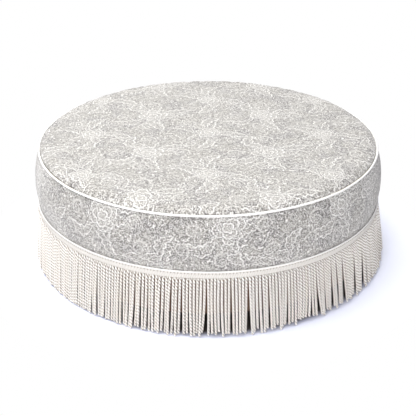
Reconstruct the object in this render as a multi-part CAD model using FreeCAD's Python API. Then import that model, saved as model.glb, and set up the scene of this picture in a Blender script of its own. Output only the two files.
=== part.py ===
import FreeCAD
import Part
import math
import os

# A low round upholstered tuffet with a skirt of twisted fringe, in millimetres.
# The origin is on the floor under the middle of the seat, and +Z is up.
# It is built as an upholsterer builds it: a plywood and pine drum on four block
# feet, woven webbing and hessian, a foam slab with a crown of wadding, a padded
# side, a piped cover of three cloth pieces, and a fringe sewn to a braid heading.

# Covered outline, measured on the outside of the cloth
seam_radius = 437.0
seam_height = 300.0
crown_rise = 20.0
shoulder_rise = 15.5
shoulder_width = 36.0
bulge_out = 14.0
bulge_drop = 62.0
waist_out = 8.0
base_out = 4.5
base_corner = 5.0
cloth = 1.2
band_join_gap = 0.4
fold_width = 33.0

# The soft pieces are turned in flat facets, which start from the band's front join
facets = 72
band_join_angle = -34.25
crown_steps = 2
roll_steps = 4
lining_roll_steps = 2
swell_steps = 5
lining_swell_steps = 3

# Piping: a bias strip wrapped round a cotton cord, sewn into the seam by its flange
piping_radius = 2.7
piping_cloth = 0.6
piping_sides = 6
piping_bore_sides = 5
piping_slit = 0.2
flange_length = 13.0
flange_cloth = 0.9

# Fringe: a braid heading with a thick upper edge, and the cords that hang from it
heading_top = 165.0
heading_height = 20.0
heading_thickness = 3.0
heading_edge = 4.4
heading_edge_height = 3.2
cord_across = 7.2
cord_sides = 4
cord_pitch = 8.0
cord_hem = 4.5
cord_flare = 13.0
cord_unevenness = 1.4
cord_sway = 0.8

# Feet
pad_size = 44.0
pad_thickness = 3.0
foot_size = 54.0
foot_height = 42.0
foot_chamfer = 3.0
foot_setback = 48.0
foot_angles = (45, 135, 225, 315)

# Coach screws that hold the feet, driven down through the lower ring
screw_radius = 4.0
screw_in_foot = 30.0
screw_head = 13.0
screw_head_height = 5.5

# Drum frame
board = 18.0
side_padding_depth = 9.0
skin = 3.0
skin_gap = 3.0
ring_width = 75.0
ring_inner_sides = 8
webbing_height = 205.0
post_size = 45.0
post_count = 8
rail_width = 40.0

# Seat: webbing, hessian and foam
strap_width = 60.0
strap_thickness = 1.6
strap_gap = 45.0
strap_landing = 34.0
strap_slope_run = 12.0
hessian = 0.8
hessian_inset = 6.0
hessian_sides = 24
wadding_edge = 2.0
padding_below_flange = 3.35

# Cloth that closes the underside
dust_cloth = 0.6
dust_inset = 8.0
dust_sides = 48
dust_hole = 9.0

# Clearances between soft layers, and between a screw and its hole
soft_gap = 0.3
screw_gap = 0.1

# Heights and radii that follow from the sizes above
drum_radius = seam_radius - side_padding_depth
foot_circle = drum_radius - foot_setback
foot_top = pad_thickness + foot_height
dust_top = foot_top + dust_cloth
base_bottom = dust_top + cloth
base_top = base_bottom + board
top_ring_bottom = webbing_height - board
ring_radius = drum_radius - skin
ring_opening = ring_radius - ring_width
strap_spacing = strap_width + strap_gap
strap_field = ring_opening / math.cos(math.pi / 4) - strap_slope_run
strap_count = int((strap_field - strap_width) / strap_spacing) + 1
strap_lift = (strap_thickness + soft_gap) / 2
hessian_bottom = webbing_height + strap_thickness + strap_lift + soft_gap
foam_top = seam_height - wadding_edge
foam_bottom = hessian_bottom + hessian + soft_gap
heading_bottom = heading_top - heading_height
piping_neck = seam_radius - piping_radius * math.cos(math.pi / piping_sides)
flange_inner = piping_neck - flange_cloth
flange_top = seam_height + piping_radius * math.sin(math.pi / piping_sides)
flange_bottom = flange_top - flange_length
cover_edge = flange_inner - soft_gap
band_edge = piping_neck + soft_gap + cloth

axis_z = FreeCAD.Vector(0, 0, 1)
centre = FreeCAD.Vector(0, 0, 0)
full_turn = 360.0


def at(radius, height):
    """A point of a section, drawn in the XZ plane."""
    return FreeCAD.Vector(radius, 0, height)


def polygon(points):
    """A flat face bounded by straight edges."""
    return Part.Face(Part.makePolygon([*points, points[0]]))


def turned(point, angle):
    """A section's point carried round the vertical axis."""
    return FreeCAD.Vector(point.x * math.cos(angle), point.x * math.sin(angle), point.z)


def faceted(points, first=0, count=facets, gap=0.0):
    """A closed section carried round the vertical axis in flat facets.

    A count below the full number makes a length that starts at the facet
    first, with half the gap left open at each of its ends.
    """
    step = 2 * math.pi / facets
    start = math.radians(band_join_angle) + first * step
    whole = count == facets
    stations = [[turned(p, start + n * step) for p in points] for n in range(count + 1)]
    if whole:
        stations[-1] = stations[0]
    else:
        share = gap / 2 / (seam_radius * step)
        stations[0] = [a + (b - a) * share for a, b in zip(stations[0], stations[1])]
        stations[-1] = [a + (b - a) * share for a, b in zip(stations[-1], stations[-2])]
    faces = []
    for near, far in zip(stations, stations[1:]):
        for a, b, c, d in zip(near, near[1:] + near[:1], far[1:] + far[:1], far):
            loop = [a, b, c, d]
            corners = [p for p, q in zip(loop, loop[1:] + loop[:1]) if not p.isEqual(q, 1e-6)]
            if len(corners) > 2:
                faces.append(polygon(corners))
    if not whole:
        faces += [polygon(stations[0]), polygon(stations[-1])]
    shell = Part.makeShell(faces)
    shell.sewShape()
    solid = Part.makeSolid(shell.Shells[0] if shell.Shells else shell)
    if solid.Volume < 0:
        solid.reverse()
    return solid.removeSplitter()


def prism(sides, radius, height, bottom, flats_out=False):
    """An upright regular prism about the vertical axis, sized to its corners or to its flats."""
    step = 2 * math.pi / sides
    reach = radius / math.cos(step / 2) if flats_out else radius
    corners = [turned(at(reach, bottom), (n + 0.5) * step) for n in range(sides)]
    return polygon(corners).extrude(FreeCAD.Vector(0, 0, height))


def block(length, width, height, radius, angle, bottom):
    """A box whose middle stands at a radius, with its length pointing outwards."""
    box = Part.makeBox(length, width, height, FreeCAD.Vector(radius - length / 2, -width / 2, bottom))
    box.rotate(centre, axis_z, angle)
    return box


def rod(radius, length, out, angle, bottom):
    """An upright round bar at a distance out from the middle."""
    bar = Part.makeCylinder(radius, length, FreeCAD.Vector(out, 0, bottom))
    bar.rotate(centre, axis_z, angle)
    return bar


def arc_from(start, direction, end, steps):
    """Points after start on the arc that leaves it along direction and reaches end."""
    chord = end - start
    half_turn = math.atan2(chord.z, chord.x) - math.atan2(direction.z, direction.x)
    radius = chord.Length / (2 * math.sin(half_turn))
    hub = start + at(-direction.z, direction.x) * radius
    points = []
    for n in range(1, steps + 1):
        angle = 2 * half_turn * n / steps
        arm = start - hub
        points.append(hub + at(
            math.cos(angle) * arm.x - math.sin(angle) * arm.z,
            math.sin(angle) * arm.x + math.cos(angle) * arm.z,
        ))
    turn = 2 * half_turn
    last = at(
        math.cos(turn) * direction.x - math.sin(turn) * direction.z,
        math.sin(turn) * direction.x + math.cos(turn) * direction.z,
    )
    return points, last


def dome(inset, crown_count, roll_count):
    """Points of the seat's upper outline, from the middle out to the seam, moved in by inset."""
    top = at(0, seam_height + crown_rise - inset)
    shoulder = at(seam_radius - shoulder_width - inset, seam_height + shoulder_rise - inset)
    edge = at(cover_edge - inset, seam_height + cloth / 2 - inset)
    crown, direction = arc_from(top, at(1, 0), shoulder, crown_count)
    roll, _ = arc_from(shoulder, direction, edge, roll_count)
    return [top, *crown, *roll]


def swell(inset, count):
    """Points of the band's swelled outline, from the seam down to the waist, moved in by inset."""
    seam = at(band_edge - inset, seam_height - piping_radius - soft_gap)
    widest = at(seam_radius + bulge_out - inset, seam_height - bulge_drop)
    waist = at(seam_radius + waist_out - inset, heading_top)
    return Part.Arc(seam, widest, waist).toShape().discretize(Number=count + 1)


def side_radius(height):
    """Outside of the band at a height between the base and the waist."""
    share = (height - base_bottom) / (heading_top - base_bottom)
    return seam_radius + base_out + share * (waist_out - base_out)


def ring(bottom):
    """One plywood ring of the drum, round outside and sawn straight in eight sides inside."""
    outer = Part.makeCylinder(ring_radius, board, FreeCAD.Vector(0, 0, bottom))
    opening = prism(ring_inner_sides, ring_opening, board, bottom, flats_out=True)
    return outer.cut(opening)


def base_ring():
    """The lower ring, bored for the foot screws."""
    holes = [rod(screw_radius + screw_gap, board, foot_circle, a, base_bottom) for a in foot_angles]
    return ring(base_bottom).cut(Part.makeCompound(holes))


def rails():
    """Two battens across the lower ring, halved into each other at the middle."""
    length = 2 * (ring_radius - soft_gap) - board
    made = []
    for number, angle in enumerate((0, 90)):
        rail = block(length, rail_width, board, 0, angle, base_top)
        notch_bottom = base_top + (board / 2 if number else 0)
        made.append(rail.cut(block(rail_width, rail_width, board / 2, 0, angle, notch_bottom)))
    return made


def posts():
    """The uprights between the two rings, set so that they miss the rails and the feet."""
    reach = math.sqrt((ring_radius - soft_gap) ** 2 - (post_size / 2) ** 2) - post_size / 2
    step = full_turn / post_count
    height = top_ring_bottom - base_top
    return [block(post_size, post_size, height, reach, (n + 0.5) * step, base_top) for n in range(post_count)]


def drum_skin():
    """Hardboard bent round the rings, its ends butted at the back with a small gap."""
    section = polygon([
        at(ring_radius, base_bottom),
        at(drum_radius, base_bottom),
        at(drum_radius, webbing_height),
        at(ring_radius, webbing_height),
    ])
    gap_angle = math.degrees(skin_gap / drum_radius)
    section.rotate(centre, axis_z, full_turn / 4 + gap_angle / 2)
    return section.revolve(centre, axis_z, full_turn - gap_angle)


def strap(offset, over_first):
    """One strap of webbing along X, that passes over and under the straps it crosses."""
    middle = ring_opening + strap_landing
    reach = math.sqrt(middle**2 - offset**2)
    flat = strap_width / 2
    heights = []
    for n in range(strap_count):
        x = (n - (strap_count - 1) / 2) * strap_spacing
        lift = strap_lift if (n % 2 == 0) == over_first else -strap_lift
        heights += [(x - flat, lift), (x + flat, lift)]
    first = (heights[0][0] - strap_slope_run, 0.0)
    last = (heights[-1][0] + strap_slope_run, 0.0)
    heights = [(-reach, 0.0), first, *heights, last, (reach, 0.0)]
    lower = [FreeCAD.Vector(x, offset - flat, webbing_height + z) for x, z in heights]
    upper = [p + FreeCAD.Vector(0, 0, strap_thickness) for p in reversed(lower)]
    return polygon(lower + upper).extrude(FreeCAD.Vector(0, strap_width, 0))


def webbing():
    """Straps from side to side, and straps from front to back woven through them."""
    offsets = [(n - (strap_count - 1) / 2) * strap_spacing for n in range(strap_count)]
    across = [strap(offset, n % 2 == 0) for n, offset in enumerate(offsets)]
    along = []
    for n, offset in enumerate(offsets):
        one = strap(-offset, n % 2 == 1)
        one.rotate(centre, axis_z, full_turn / 4)
        along.append(one)
    return across, along


def crown_wadding():
    """Layered wadding that rounds the slab up to the cover."""
    upper = dome(cloth + soft_gap, 1, lining_roll_steps)
    bottom = foam_top + soft_gap
    return faceted([*upper, at(upper[-1].x, bottom), at(0, bottom)])


def side_padding():
    """Foam wrapped round the drum and the slab, which gives the band its swell."""
    inset = cloth + soft_gap
    top = flange_bottom - padding_below_flange
    line = swell(inset, lining_swell_steps)
    inner = (drum_radius + soft_gap / 3) / math.cos(math.pi / facets)
    share = (line[0].z - top) / (line[0].z - line[1].z)
    upper = line[0] + (line[1] - line[0]) * share
    return faceted([
        at(inner, top),
        upper,
        *line[1:],
        at(seam_radius + base_out - inset, base_bottom + base_corner),
        at(inner, base_bottom + soft_gap),
    ])


def top_cover():
    """The round top panel of the cover."""
    outer = dome(0, crown_steps, roll_steps)
    inner = dome(cloth, 1, lining_roll_steps)
    return faceted([*outer, *reversed(inner)])


def bands():
    """The band's two lengths of cloth, swelled at the side and folded under the drum."""
    outside = seam_radius + base_out
    fold_end = ring_radius - fold_width
    section = [
        *swell(0, swell_steps),
        at(outside, dust_top + base_corner),
        at(outside - base_corner, dust_top),
        at(fold_end, dust_top),
        at(fold_end, base_bottom),
        at(outside - base_corner - cloth / 2, base_bottom),
        at(outside - cloth, base_bottom + base_corner - cloth / 2),
        *reversed(swell(cloth, lining_swell_steps)),
    ]
    half = facets // 2
    return [faceted(section, n * half, half, band_join_gap) for n in range(2)]


def around(hub, radius, sides):
    """Corners of a section's regular polygon, from its lower left round to its upper left."""
    step = 2 * math.pi / sides
    angles = [-math.pi + (n + 0.5) * step for n in range(sides)]
    return [hub + at(radius * math.cos(a), radius * math.sin(a)) for a in angles]


def piping():
    """The strip wrapped round the cord, with its sewing flange, and the cord inside it."""
    hub = at(seam_radius, seam_height)
    shell = around(hub, piping_radius, piping_sides)
    bore = around(hub, piping_radius - piping_cloth, piping_bore_sides)
    slit = at(piping_slit, 0)
    lip = at(piping_neck + piping_slit, bore[-1].z)
    wrap = faceted([
        at(flange_inner, flange_top),
        at(flange_inner, flange_bottom),
        at(piping_neck, flange_bottom),
        *shell[:-1],
        shell[-1] + slit,
        lip,
        *reversed(bore[1:-1]),
        at(piping_neck, bore[0].z),
        at(piping_neck, flange_top),
    ])
    core_radius = piping_radius - piping_cloth - screw_gap
    return wrap, faceted(around(hub, core_radius, piping_bore_sides))


def fringe_heading():
    """The woven braid that the cords hang from, with its thicker upper edge."""
    top = heading_top - soft_gap
    inner_top = side_radius(heading_top) + soft_gap
    inner_bottom = side_radius(heading_bottom) + soft_gap
    edge_bottom = top - heading_edge_height
    return faceted([
        at(inner_bottom, heading_bottom),
        at(inner_bottom + heading_thickness, heading_bottom),
        at(inner_top + heading_thickness, edge_bottom - heading_edge + heading_thickness),
        at(inner_top + heading_edge, edge_bottom),
        at(inner_top + heading_edge, top),
        at(inner_top, top),
    ])


def fringe_cords():
    """The hanging cords. Each leans out to the hem, a little unevenly, as hung twist does."""
    out = side_radius(heading_bottom) + soft_gap + cord_across / 2
    count = round(2 * math.pi * out / cord_pitch)
    step = full_turn / count
    turns = [2 * math.pi * n / cord_sides for n in range(cord_sides)]
    reach = cord_across / 2
    section = polygon([
        FreeCAD.Vector(out + reach * math.cos(a), reach * math.sin(a), heading_bottom) for a in turns
    ])
    cords = []
    for n in range(count):
        hem = cord_hem + cord_unevenness * math.sin(2.4 * n) * math.sin(0.37 * n)
        sway = cord_sway * math.sin(0.9 * n) * math.cos(0.23 * n)
        cord = section.extrude(FreeCAD.Vector(cord_flare, sway, hem - heading_bottom))
        cord.rotate(centre, axis_z, n * step)
        cords.append(cord)
    return Part.makeCompound(cords)


def dust_cover():
    """The cloth under the drum, slit square for each foot screw."""
    sheet = prism(dust_sides, drum_radius - dust_inset, dust_cloth, foot_top)
    slits = [block(dust_hole, dust_hole, dust_cloth, foot_circle, a, foot_top) for a in foot_angles]
    return sheet.cut(Part.makeCompound(slits))


def foot(angle):
    """One block foot, chamfered, bored from above for its screw."""
    leg = block(foot_size, foot_size, foot_height, foot_circle, angle, pad_thickness)
    upright = [e for e in leg.Edges if abs(e.tangentAt(e.FirstParameter).z) > 0.9]
    leg = leg.makeChamfer(foot_chamfer, upright)
    depth = screw_in_foot + screw_gap
    return leg.cut(rod(screw_radius + screw_gap, depth, foot_circle, angle, foot_top - depth))


def foot_screw(angle):
    """One hexagon-headed screw, its head down on the lower ring."""
    shank = rod(screw_radius, base_top - foot_top + screw_in_foot, foot_circle, angle, foot_top - screw_in_foot)
    head = prism(6, screw_head / 2, screw_head_height, base_top, flats_out=True)
    head.translate(turned(at(foot_circle, 0), math.radians(angle)))
    return shank.fuse(head).removeSplitter()


def main():
    """Writes each piece to its own file in parts."""
    os.makedirs("parts", exist_ok=True)
    rail_across, rail_along = rails()
    across, along = webbing()
    wrap, core = piping()
    pieces = {
        "base_ring": base_ring(),
        "top_ring": ring(top_ring_bottom),
        "rail_across": rail_across,
        "rail_along": rail_along,
        "drum_skin": drum_skin(),
        "platform_hessian": prism(hessian_sides, drum_radius - hessian_inset, hessian, hessian_bottom),
        "seat_foam": Part.makeCylinder(
            drum_radius, foam_top - foam_bottom, FreeCAD.Vector(0, 0, foam_bottom)
        ),
        "crown_wadding": crown_wadding(),
        "side_padding": side_padding(),
        "top_cover": top_cover(),
        "piping_wrap": wrap,
        "piping_core": core,
        "fringe_heading": fringe_heading(),
        "fringe_cords": fringe_cords(),
        "dust_cover": dust_cover(),
        "foot_screws": Part.makeCompound([foot_screw(a) for a in foot_angles]),
    }
    for n, post in enumerate(posts(), 1):
        pieces[f"post_{n}"] = post
    for n, one in enumerate(across, 1):
        pieces[f"strap_across_{n}"] = one
    for n, one in enumerate(along, 1):
        pieces[f"strap_along_{n}"] = one
    for n, band in enumerate(bands(), 1):
        pieces[f"side_band_{n}"] = band
    for n, angle in enumerate(foot_angles, 1):
        pieces[f"foot_{n}"] = foot(angle)
        pieces[f"foot_pad_{n}"] = block(pad_size, pad_size, pad_thickness, foot_circle, angle, 0)
    for name, shape in pieces.items():
        shape.exportStep(f"parts/{name}.step")


main()
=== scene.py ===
import math

import bmesh
import bpy
import numpy as np
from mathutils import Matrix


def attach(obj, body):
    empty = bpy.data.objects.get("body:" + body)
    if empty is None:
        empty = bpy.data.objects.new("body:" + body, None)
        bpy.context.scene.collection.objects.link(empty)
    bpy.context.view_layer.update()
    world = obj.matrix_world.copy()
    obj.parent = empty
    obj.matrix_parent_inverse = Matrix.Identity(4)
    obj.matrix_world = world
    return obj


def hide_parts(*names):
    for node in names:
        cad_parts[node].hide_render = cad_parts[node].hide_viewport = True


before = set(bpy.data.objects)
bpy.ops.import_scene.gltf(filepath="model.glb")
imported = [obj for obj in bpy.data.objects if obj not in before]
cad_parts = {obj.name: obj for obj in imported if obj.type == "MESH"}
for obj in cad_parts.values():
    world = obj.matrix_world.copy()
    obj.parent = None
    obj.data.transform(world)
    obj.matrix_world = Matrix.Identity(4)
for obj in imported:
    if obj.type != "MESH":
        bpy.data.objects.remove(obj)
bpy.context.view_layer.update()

# A low round tuffet dressed for looks: woven cover, piping, band, braid heading
# and twisted fringe outside, and its webbing, foam and wadding inside.
# Metres, floor at z 0, the middle of the seat over the origin, front towards -Y.

random = np.random.default_rng(416)

# A full turn in radians
TURN = 2 * math.pi

# Sizes shared with the solids. Pairs are (radius, height)
SEAM_RADIUS = 0.437
SEAM_HEIGHT = 0.3
CROWN_RISE = 0.02
SHOULDER_RISE = 0.0155
SHOULDER_WIDTH = 0.036
COVER_EDGE = (0.433, 0.3012)
CLOTH = 0.0012
WAIST = (0.445, 0.165)
BASE_RADIUS = 0.4415
BAND_BASE = [(0.4446, 0.15), (0.4435, 0.12), (0.4425, 0.085)]
BAND_TOP = 0.2972
SWELL = (0.451, 0.238)
HEADING_TOP = 0.1647
HEADING_BOTTOM = 0.145
DUST_TOP = 0.0456
FOLD_END = 0.392
JOIN_ANGLE = math.radians(-34.25)
CORDS = 352
SOFT_GAP = 0.0003
DISC_RADIUS = 0.418
FOOT_CIRCLE = 0.38
FOOT_ANGLES = [math.radians(a) for a in (45, 135, 225, 315)]
STRAPS = 5
STRAP_SPACING = 0.105
STRAP_HALF = 0.03
STRAP_CIRCLE = 0.384

# Length of the heading along its own middle
HEADING_ROUND = TURN * 0.447


# Meshes


def circle(count):
    """Even angles all the way round."""
    return np.arange(count) * TURN / count


def unit(value):
    """The value held between 0 and 1."""
    return np.clip(value, 0, 1)


def placed(radius, angle, height):
    """Points at a distance from the axis, an angle round it and a height."""
    return np.stack(np.broadcast_arrays(radius * np.cos(angle), radius * np.sin(angle), height), -1)


def cloth_places(across, down):
    """Places on the cloth, from an array of columns and an array of rows."""
    return np.stack(np.broadcast_arrays(across, down), -1).reshape(-1, 2)


def grid(rows, columns, ring=False, closed=False):
    """Quads over points numbered row by row. A ring joins its last column to the first, and closed its last row."""
    r = np.arange(rows if closed else rows - 1)
    c = np.arange(columns if ring else columns - 1)
    r, c = np.meshgrid(r, c, indexing="ij")
    r2, c2 = (r + 1) % rows, (c + 1) % columns
    return np.stack([r * columns + c, r * columns + c2, r2 * columns + c2, r2 * columns + c], -1).reshape(-1, 4)


def added(name, data):
    """An object of a mesh, lamp or camera, in the scene."""
    thing = bpy.data.objects.new(name, data)
    bpy.context.scene.collection.objects.link(thing)
    return thing


def piece(name, points, faces, material, layout=None, marks=None, weld=False):
    """A mesh object on the frame's only body. Faces are arrays of like-sided faces.

    The layout is (places on the cloth, the place's number at each face corner or None for the point's own).
    """
    faces = faces if isinstance(faces, list) else [faces]
    mesh = bpy.data.meshes.new(name)
    mesh.vertices.add(len(points))
    mesh.vertices.foreach_set("co", np.asarray(points, np.float32).ravel())
    corners = np.concatenate([f.ravel() for f in faces])
    sides = np.concatenate([np.full(len(f), f.shape[1]) for f in faces])
    mesh.loops.add(len(corners))
    mesh.loops.foreach_set("vertex_index", corners.astype(np.int32))
    mesh.polygons.add(len(sides))
    mesh.polygons.foreach_set("loop_start", np.concatenate([[0], np.cumsum(sides)[:-1]]).astype(np.int32))
    mesh.update(calc_edges=True)
    mesh.validate()
    if layout is not None:
        spots, numbers = layout
        numbers = corners if numbers is None else np.concatenate([n.ravel() for n in numbers])
        sheet = mesh.uv_layers.new(name="cloth")
        sheet.uv.foreach_set("vector", np.asarray(spots, np.float32)[numbers].ravel())
    for mark, values in (marks or {}).items():
        mesh.attributes.new(mark, "FLOAT", "POINT").data.foreach_set("value", np.asarray(values, np.float32))
    if weld:
        shape = bmesh.new()
        shape.from_mesh(mesh)
        bmesh.ops.remove_doubles(shape, verts=shape.verts, dist=1e-6)
        shape.to_mesh(mesh)
        shape.free()
    mesh.shade_smooth()
    thing = added(name, mesh)
    mesh.materials.append(material)
    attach(thing, "root")
    return thing


def thicken(thing, thickness):
    """Gives a surface a thickness on its inner side."""
    wall = thing.modifiers.new("thickness", "SOLIDIFY")
    wall.thickness, wall.offset, wall.use_even_offset = thickness, -1.0, True


def spun_points(profile, angles, ripple=None):
    """Points of a profile of (radius, height) rows carried round the given angles."""
    radius, height = np.asarray(profile, float).T
    radius = np.repeat(radius[:, None], len(angles), 1)
    height = np.repeat(height[:, None], len(angles), 1)
    if ripple is not None:
        out, up = ripple(radius, height, angles)
        radius, height = radius + out, height + up
    return placed(radius, angles, height).reshape(-1, 3)


def spun_piece(name, profile, around, material, closed=False, ripple=None):
    """A profile carried all the way round, closed on itself or running in to the axis.

    The profile runs up the outside, so its faces look outwards.
    """
    points = spun_points(profile, circle(around), ripple)
    quads = grid(len(profile), around, ring=True, closed=closed)
    return piece(name, points, quads, material, (points[:, :2], None), weld=True)


def round_corners(corners, radius, steps=4):
    """A closed outline of (radius, height) corners with each corner rounded off."""
    corners = np.asarray(corners, float)
    points = []
    for before, here, after in zip(np.roll(corners, 1, 0), corners, np.roll(corners, -1, 0)):
        start = here + (before - here) / np.linalg.norm(before - here) * radius
        end = here + (after - here) / np.linalg.norm(after - here) * radius
        for t in np.linspace(0, 1, steps + 1):
            points.append((1 - t) ** 2 * start + 2 * t * (1 - t) * here + t**2 * end)
    return np.array(points)


def evenly(points, spacing):
    """Points at an even spacing along a polyline, with its own ends."""
    points = np.asarray(points, float)
    along = np.concatenate([[0], np.cumsum(np.linalg.norm(np.diff(points, axis=0), axis=1))])
    wanted = np.linspace(0, along[-1], max(2, round(along[-1] / spacing) + 1))
    return np.stack([np.interp(wanted, along, column) for column in points.T], -1), wanted


def arc_through(a, b, c, steps):
    """Points on the circle through three points, from the first to the last."""
    (ax, ay), (bx, by), (cx, cy) = a, b, c
    d = 2 * (ax * (by - cy) + bx * (cy - ay) + cx * (ay - by))
    ux = ((ax**2 + ay**2) * (by - cy) + (bx**2 + by**2) * (cy - ay) + (cx**2 + cy**2) * (ay - by)) / d
    uy = ((ax**2 + ay**2) * (cx - bx) + (bx**2 + by**2) * (ax - cx) + (cx**2 + cy**2) * (bx - ax)) / d
    first, last = math.atan2(ay - uy, ax - ux), math.atan2(cy - uy, cx - ux)
    sweep = (last - first + math.pi) % TURN - math.pi
    reach = math.hypot(ax - ux, ay - uy)
    turn = first + sweep * np.linspace(0, 1, steps)
    return np.stack([ux + reach * np.cos(turn), uy + reach * np.sin(turn)], -1)


def waves(angles, parts):
    """A sum of sine waves round the seat, each given as (waves round, size, shift)."""
    return sum(size * np.sin(count * angles + shift) for count, size, shift in parts)


def tubes(lines, radius, sides, closed=False):
    """Round tubes along several lines of points, all with as many points, and their quads."""
    lines = np.asarray(lines, float)
    number, rings = lines.shape[:2]
    if closed:
        ahead = np.roll(lines, -1, 1) - np.roll(lines, 1, 1)
    else:
        ahead = np.gradient(lines, axis=1)
    ahead /= np.linalg.norm(ahead, axis=2, keepdims=True)
    up = np.zeros_like(ahead)
    up[..., 2] = 1.0
    side = np.cross(ahead, up)
    side /= np.maximum(np.linalg.norm(side, axis=2, keepdims=True), 1e-9)
    up = np.cross(side, ahead)
    turn = circle(sides)
    ring = side[:, :, None] * np.cos(turn)[:, None] + up[:, :, None] * np.sin(turn)[:, None]
    points = (lines[:, :, None] + ring * np.asarray(radius)[..., None, None]).reshape(-1, 3)
    one = grid(rings, sides, ring=True, closed=closed)[:, ::-1]
    quads = (one[None] + (np.arange(number) * rings * sides)[:, None, None]).reshape(-1, 4)
    caps = []
    if not closed:
        first = np.arange(number)[:, None] * rings * sides + np.arange(sides)
        caps = [np.concatenate([first, first[:, ::-1] + (rings - 1) * sides])]
    return points, [quads, *caps]


# Materials


class Value:
    """A socket that can be worked with as if it were a number."""

    def __init__(self, web, socket):
        self.web, self.socket = web, socket

    def __abs__(self):
        return self.web.math("ABSOLUTE", self)


for sign, kind in (("add", "ADD"), ("sub", "SUBTRACT"), ("mul", "MULTIPLY"), ("truediv", "DIVIDE"), ("pow", "POWER")):
    setattr(Value, f"__{sign}__", lambda a, b, kind=kind: a.web.math(kind, a, b))
    setattr(Value, f"__r{sign}__", lambda b, a, kind=kind: b.web.math(kind, a, b))


class Web:
    """A node tree under construction."""

    def __init__(self, tree):
        self.tree = tree

    def node(self, kind, inputs=None, **settings):
        """A node of a kind, which is named without ShaderNode in front, and what goes in to it."""
        made = self.tree.nodes.new(kind if kind.startswith("NodeGroup") else f"ShaderNode{kind}")
        for key, value in settings.items():
            setattr(made, key, value)
        for key, value in (inputs or {}).items():
            self.feed(made.inputs[key], value)
        return made

    def feed(self, socket, value):
        if isinstance(value, (Value, bpy.types.NodeSocket)):
            self.tree.links.new(getattr(value, "socket", value), socket)
        else:
            socket.default_value = value

    def out(self, made, key=0):
        return Value(self, made.outputs[key])

    def math(self, operation, a, b=0.0):
        return self.out(self.node("Math", {0: a, 1: b}, operation=operation))

    def sine(self, a):
        return self.math("SINE", a)

    def larger(self, a, b):
        return self.math("MAXIMUM", a, b)

    def polar(self, x, y):
        """The distance from the middle and the angle round it."""
        return self.math("SQRT", x * x + y * y), self.math("ARCTAN2", y, x)

    def vector(self, operation, a, b=(0, 0, 0), c=(0, 0, 0)):
        return self.out(self.node("VectorMath", {0: a, 1: b, 2: c}, operation=operation))

    def scaled(self, a, scale):
        return self.out(self.node("VectorMath", {0: a, "Scale": scale}, operation="SCALE"))

    def split(self, a):
        made = self.node("SeparateXYZ", {0: a})
        return [self.out(made, n) for n in range(3)]

    def joined(self, x, y, z=0.0):
        return self.out(self.node("CombineXYZ", {0: x, 1: y, 2: z}))

    def within(self, value, low, high, to_low=0.0, to_high=1.0):
        """A smooth step from to_low to to_high as value goes from low to high."""
        inputs = {"Value": value, "From Min": low, "From Max": high, "To Min": to_low, "To Max": to_high}
        return self.out(self.node("MapRange", inputs, interpolation_type="SMOOTHSTEP"))

    def line(self, value, width):
        """1 on the line where value is 0, falling to 0 at width to either side."""
        return self.within(abs(value), 0.0, width, 1.0, 0.0)

    def noise(self, where, scale, detail=2.0, roughness=0.5, key="Fac"):
        inputs = {"Vector": where, "Scale": scale, "Detail": detail, "Roughness": roughness}
        return self.out(self.node("TexNoise", inputs), key)

    def mark(self, name):
        """A value that the mesh carries at each point."""
        return self.out(self.node("Attribute", attribute_name=name), "Fac")

    def mixed(self, share, a, b):
        return self.out(self.node("Mix", {0: share, 6: a, 7: b}, data_type="RGBA"), 2)

    def use(self, group, **inputs):
        made = self.node("Group", inputs, node_tree=group)
        return {o.name: Value(self, o) for o in made.outputs}


def effect(name, draw, outputs, **inputs):
    """A node group that takes a Vector and the given numbers, and gives values by name."""
    tree = bpy.data.node_groups.new(name, "ShaderNodeTree")
    tree.interface.new_socket("Vector", in_out="INPUT", socket_type="NodeSocketVector")
    for key, start in inputs.items():
        tree.interface.new_socket(key, in_out="INPUT", socket_type="NodeSocketFloat").default_value = start
    for key in outputs:
        tree.interface.new_socket(key, in_out="OUTPUT", socket_type="NodeSocketFloat")
    web = Web(tree)
    start = web.node("NodeGroupInput")
    given = {key: web.out(start, key) for key in ("Vector", *inputs)}
    end = web.node("NodeGroupOutput")
    for key, value in draw(web, given).items():
        web.feed(end.inputs[key], value)
    return tree


def linear(red, green, blue):
    """A colour given in screen values from 0 to 255, as a shader takes it."""
    screen = np.array([red, green, blue]) / 255
    return (*np.where(screen <= 0.04045, screen / 12.92, ((screen + 0.055) / 1.055) ** 2.4), 1.0)


def finish_of(name, draw):
    """A material whose draw function gives its shader's inputs, by name."""
    material = bpy.data.materials.new(name)
    material.use_nodes = True
    web = Web(material.node_tree)
    shader = material.node_tree.nodes["Principled BSDF"]
    for key, value in draw(web).items():
        web.feed(shader.inputs[key], value)
    return material


def cloth_spot(web):
    return web.out(web.node("UVMap", uv_map="cloth"))


def object_spot(web):
    return web.out(web.node("TexCoord"), "Object")


def surface(web, colour, roughness, height, distance, strength, **sheen):
    """A shader's inputs, with a relief of the given height and depth."""
    relief = web.node("Bump", {"Height": height, "Distance": distance, "Strength": strength})
    sheen = {key.replace("_", " "): value for key, value in sheen.items()}
    return {"Base Color": colour, "Roughness": roughness, "Normal": web.out(relief), **sheen}


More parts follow.
